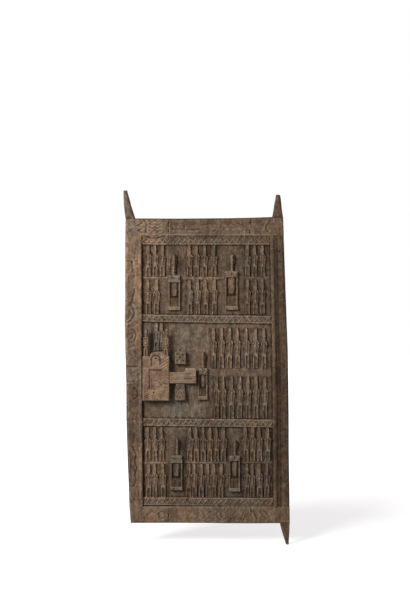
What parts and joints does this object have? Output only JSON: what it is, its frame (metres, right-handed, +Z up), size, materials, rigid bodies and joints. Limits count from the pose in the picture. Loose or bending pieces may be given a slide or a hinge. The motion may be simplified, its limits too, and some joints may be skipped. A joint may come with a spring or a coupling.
{
  "type": "granary door",
  "caption": "Carved wooden granary door of three stapled planks with pivot horns, rows of ancestor figures in relief, and a sliding bolt lock with drop tumblers.",
  "frame": {"origin": "tip of the lower pivot, on the swing axis", "axes": "+Z up along the door, the carved front faces -Y, the free edge and the lock lie at -X"},
  "size_m": [0.7686, 0.078, 1.636],
  "materials": {
    "plank_wood": "weathered, hand adzed, matt",
    "lock_wood": "hand carved, worn smooth, satin",
    "bolt_wood": "plain sawn and rubbed by use, satin",
    "figure_wood": "carved, dark patina, matt",
    "iron": "hand forged, rusted, matt"
  },
  "bodies": {
    "door_leaf": {"left_plank": "plank_wood", "middle_plank": "plank_wood", "right_plank": "plank_wood", "seam_staples_left": "iron", "seam_staples_right": "iron", "lock_case": "lock_wood", "lock_spikes": "iron", "ancestor_figure_upper_left": "figure_wood", "ancestor_figure_upper_right": "figure_wood", "ancestor_figure_beside_bolt": "figure_wood", "ancestor_figure_lower_left": "figure_wood", "ancestor_figure_lower_right": "figure_wood", "figure_pegs": "figure_wood", "upper_guide_block": "figure_wood", "lower_guide_block": "figure_wood", "block_pegs": "figure_wood"},
    "bolt": {"lock_bolt": "bolt_wood"},
    "tumbler_one": {"tumbler_1": "bolt_wood"},
    "tumbler_two": {"tumbler_2": "bolt_wood"},
    "tumbler_three": {"tumbler_3": "bolt_wood"}
  },
  "joints": [
    {"name": "bolt_slide", "type": "slide", "parent": "door_leaf", "child": "bolt", "axis": [-1, 0, 0], "range_m": [0, 0.0715]},
    {"name": "tumbler_1_lift", "type": "slide", "parent": "door_leaf", "child": "tumbler_one", "axis": [0, 0, 1], "range_m": [0, 0.008]},
    {"name": "tumbler_2_lift", "type": "slide", "parent": "door_leaf", "child": "tumbler_two", "axis": [0, 0, 1], "range_m": [0, 0.008]},
    {"name": "tumbler_3_lift", "type": "slide", "parent": "door_leaf", "child": "tumbler_three", "axis": [0, 0, 1], "range_m": [0, 0.008]}
  ]
}
